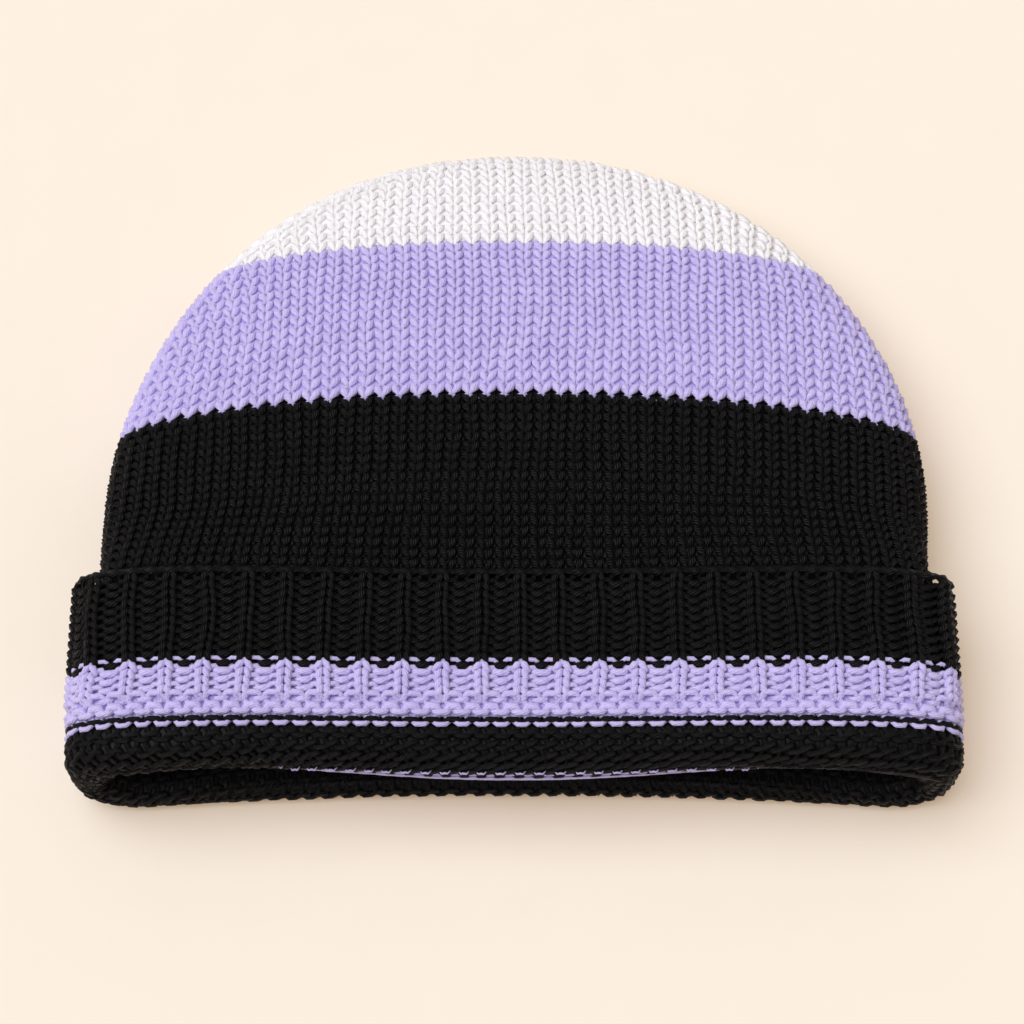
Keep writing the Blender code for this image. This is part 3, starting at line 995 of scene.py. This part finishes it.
# The changes are sizes of a stitch that differ in this piece
def knitPiece(name, rows, tree, form, material, node, changes):
    mesh = bpy.data.meshes.new(name)
    mesh.from_pydata([(0.0, 0.0, facts["row"] * mm) for facts in rows], [], [])
    for key in strandFacts:
        kind = "INT" if key == "row" else "FLOAT"
        data = mesh.attributes.new(key, kind, "POINT").data
        data.foreach_set("value", [facts[key] for facts in rows])
    piece = addObject(name, mesh)
    modifier = piece.modifiers.new("knitCourses", "NODES")
    modifier.node_group = tree
    sizes = {**stitch, **changes}
    values = {size: sizes[size] for size in knitInputs}
    values.update(form=form, twistLength=yarn["twistLength"], yarn=material)
    setInputs(modifier, tree, values)
    graph = bpy.context.evaluated_depsgraph_get()
    plain = bpy.data.meshes.new_from_object(
        piece.evaluated_get(graph), preserve_all_data_layers=True, depsgraph=graph
    )
    piece.modifiers.clear()
    piece.data = plain
    plain.name = name
    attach(piece, "root")
    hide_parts(node)
    print("knitted", name, len(plain.polygons) * 2, "triangles")


yarn = {
    "twistLength": 11.0 * mm,
    "strands": 7.0,
    "ridgePower": 0.9,
    "patchScale": 160.0,
    "patchStrength": 0.9,
    "fibreAlong": 12.0,         # flecks in one turn of the twist
    "fibreRound": 11.0,         # and round the yarn
    "noiseDetail": 3.0,
    "tone": 0.85,
    "sheenRoughness": 0.6,
    "softness": (1.0, 0.85, 1.0),
    "softDepth": 1.0 * mm,
    "bumpStrength": 0.8,
    "bumpDepth": 0.25 * mm,
}

# Colour of the raised strands and a darker one: painted shade in the twist's grooves, and the darker patches
# and flecks; how strongly the twist shows, as painted groove shade and as bump, and how strongly the fibres
# show
yarnLooks = {
    "whiteYarn": {
        "light": (0.94, 0.925, 0.955),
        "deep": (0.80, 0.76, 0.78),
        "twist": 0.45,
        "fibre": 1.5,
        "rough": 0.92,
        "sheen": 0.25,
        "specular": 0.3,
        "depth": 0.15,
    },
    "lavenderYarn": {
        "light": (0.615, 0.54, 0.89),
        "deep": (0.43, 0.36, 0.73),
        "twist": 0.5,
        "fibre": 1.5,
        "rough": 0.9,
        "sheen": 0.25,
        "specular": 0.3,
        "depth": 0.15,
    },
    "blackYarn": {
        "light": (0.0068, 0.0058, 0.0072),
        "deep": (0.0003, 0.0002, 0.0003),
        "twist": 1.2,
        "fibre": 0.9,
        "rough": 0.5,
        "sheen": 0.0,
        "specular": 0.15,
        "depth": 0.0,
    },
}


def newMaterial(name, values):
    material = bpy.data.materials.new(name)
    material.use_nodes = True
    shader = material.node_tree.nodes["Principled BSDF"]
    for key, value in values.items():
        shader.inputs[key].default_value = value
    return material, shader


def speckle(vector, scale, detail):
    inputs = {"Vector": vector, "Scale": scale, "Detail": detail}
    return addNode(vector.id_data, "ShaderNodeTexNoise", inputs).outputs[0]


def colourBetween(share, low, high):
    inputs = {0: share, 6: (*low, 1.0), 7: (*high, 1.0)}
    return addNode(share.id_data, "ShaderNodeMix", inputs, data_type="RGBA").outputs[2]


def makeYarn(name):
    looks = yarnLooks[name]
    material, shader = newMaterial(name, {
        "Roughness": looks["rough"],
        "Sheen Weight": looks["sheen"],
        "Sheen Roughness": yarn["sheenRoughness"],
        "Specular IOR Level": looks["specular"],
        "Subsurface Weight": looks["depth"],
        "Subsurface Radius": yarn["softness"],
        "Subsurface Scale": yarn["softDepth"],
    })
    tree = material.node_tree
    yarnMap = addNode(tree, "ShaderNodeUVMap", uv_map="yarn").outputs[0]
    along, across = addNode(tree, "ShaderNodeSeparateXYZ", {0: yarnMap}).outputs[:2]
    groove = calc("ABSOLUTE", sine(times(times(plus(along, across), yarn["strands"]), math.pi)))
    ridge = calc("POWER", groove, yarn["ridgePower"])
    onPiece = addNode(tree, "ShaderNodeTexCoord").outputs["Object"]
    patches = speckle(onPiece, yarn["patchScale"], yarn["noiseDetail"])
    stretched = addNode(tree, "ShaderNodeMapping", {
        "Vector": yarnMap, "Scale": (yarn["fibreAlong"], yarn["fibreRound"], 1.0),
    })
    fibres = speckle(stretched.outputs[0], 1.0, yarn["noiseDetail"])

    # painted shade: the twist's grooves are coloured darker, towards the dark colour, so they look shaded
    grooveShade = times(minus(ridge, 1.0), looks["twist"])
    patched = times(minus(patches, 0.5), yarn["patchStrength"])
    flecked = times(minus(fibres, 0.5), looks["fibre"])
    tone = plus(plus(grooveShade, patched), plus(flecked, yarn["tone"]))
    feed(shader.inputs["Base Color"], colourBetween(tone, looks["deep"], looks["light"]))
    bump = addNode(tree, "ShaderNodeBump", {
        "Strength": yarn["bumpStrength"],
        "Distance": yarn["bumpDepth"],
        "Height": plus(times(ridge, looks["twist"]), times(fibres, looks["fibre"])),
    })
    feed(shader.inputs["Normal"], bump.outputs[0])
    return material


studio = {
    "floorColour": (0.680, 0.670, 0.636),
    # painted warm light: the floor glows a little, though it is no lamp, so its shadows stay warm
    "floorGlow": (0.22, 0.12, 0.04),    # keeps the shadows on it warm
    "floorSize": 6.0,
    "floorRough": 0.95,
    "floorShine": 0.1,
    "grainScale": 60.0,
    "grainDetail": 4.0,
    "grainShades": (0.985, 1.015),
    "worldColour": (0.82, 0.74, 0.65),
    "worldStrength": 0.5,
    "keyColour": (1.02, 1.05, 1.10),
    "keyPower": 2.46,
    "keySoftness": 60.0,
    "keyFrom": (-0.42, 0.03, 1.0),
    "elevation": 68.0,
    "distance": 0.6701,
    "aim": (-0.00055, -0.01055, 0.0),
    "lens": 85.0,
    "sensor": 36.0,
}


def makeFloor():
    size = studio["floorSize"] / 2
    mesh = bpy.data.meshes.new("floor")
    corners = [(-size, -size, 0), (size, -size, 0), (size, size, 0), (-size, size, 0)]
    mesh.from_pydata(corners, [], [(0, 1, 2, 3)])
    floor = addObject("floor", mesh)
    material, shader = newMaterial("paleFloor", {
        "Roughness": studio["floorRough"],
        "Specular IOR Level": studio["floorShine"],
        # painted warm light: the floor's own glow
        "Emission Color": (*studio["floorGlow"], 1.0),
        "Emission Strength": 1.0,
    })
    onFloor = addNode(material.node_tree, "ShaderNodeTexCoord").outputs["Object"]
    grain = speckle(onFloor, studio["grainScale"], studio["grainDetail"])
    shades = [[tone * share for tone in studio["floorColour"]] for share in studio["grainShades"]]
    feed(shader.inputs["Base Color"], colourBetween(grain, *shades))
    mesh.materials.append(material)


def makeLights():
    world = bpy.data.worlds.new("studio")
    world.use_nodes = True
    backdrop = world.node_tree.nodes["Background"]
    backdrop.inputs["Color"].default_value = (*studio["worldColour"], 1.0)
    backdrop.inputs["Strength"].default_value = studio["worldStrength"]
    bpy.context.scene.world = world
    data = bpy.data.lights.new("keyLight", "SUN")
    data.angle = math.radians(studio["keySoftness"])
    data.color = studio["keyColour"]
    data.energy = studio["keyPower"]
    light = addObject("keyLight", data)
    x, y, z = studio["keyFrom"]
    light.location = (x, y, z)
    light.rotation_euler = (math.atan2(math.hypot(x, y), z), 0.0, math.atan2(y, x) + math.pi / 2)


def makeCamera():
    data = bpy.data.cameras.new("photoCamera")
    data.lens = studio["lens"]
    data.sensor_width = studio["sensor"]
    camera = addObject("photoCamera", data)
    tilt = math.radians(studio["elevation"])
    x, y, z = studio["aim"]
    away = studio["distance"]
    camera.location = (x, y - away * math.cos(tilt), z + away * math.sin(tilt))
    camera.rotation_euler = (math.pi / 2 - tilt, 0.0, 0.0)
    bpy.context.scene.camera = camera


bpy.context.scene.view_settings.view_transform = "Standard"
makeFloor()
makeLights()
makeCamera()
print("floor, light and camera are up")

turns, levels, grid, out = formPoints()
form = makeForm(turns, levels, grid, out)
knitTree = makeKnitTree()
yarns = {name: makeYarn(name) for name in yarnLooks}
print("form of the fabric is laid out")

# Each band: its stretch of courses, its yarn, the node it stands for and its slot
bands = (
    ("cuff_rib_knit", "cuffRib", "blackYarn", "cuff_rib", "black_yarn"),
    ("cuff_stripe_knit", "cuffStripe", "lavenderYarn", "cuff_stripe", "lavender_yarn"),
    ("cuff_roll_knit", "cuffRoll", "blackYarn", "cuff_roll", "black_yarn"),
    ("inner_stripe_knit", "innerStripe", "lavenderYarn", "inner_stripe", "lavender_yarn"),
    ("crown_base_inside", "baseInside", "blackYarn", "crown_base", "black_yarn"),
    ("crown_base_knit", "crownBase", "blackYarn", "crown_base", "black_yarn"),
    ("crown_band_knit", "crownBand", "lavenderYarn", "crown_band", "lavender_yarn"),
    ("crown_top_knit", "crownTop", "whiteYarn", "crown_top", "white_yarn"),
)
hiddenStitch = {"samples": 8, "sides": 4}   # the layer inside the cuff is hardly seen
for pieceName, stretch, yarnName, node, slotName in bands:
    changes = hiddenStitch if stretch == "baseInside" else {}
    knitPiece(pieceName, courseRows(stretch), knitTree, form, yarns[yarnName], node, changes)
    coreName = pieceName.removesuffix("_knit") + "_core"
    makeCore(coreName, stretch, levels, grid, out, yarns[yarnName], node)

# The single strands, each with its share of the bands' yarn radius
strands = (
    ("cuff_rib_edge", edgeRows(), "blackYarn", "cuff_rib", "black_yarn", stitch["edgeRadius"]),
    ("inner_stripe_line", lineRows(), "lavenderYarn", "inner_stripe", "lavender_yarn", stitch["lineRadius"]),
)
for pieceName, rows, yarnName, node, slotName, share in strands:
    changes = {"yarnRadius": stitch["yarnRadius"] * share}
    knitPiece(pieceName, rows, knitTree, form, yarns[yarnName], node, changes)
bpy.data.objects.remove(form)
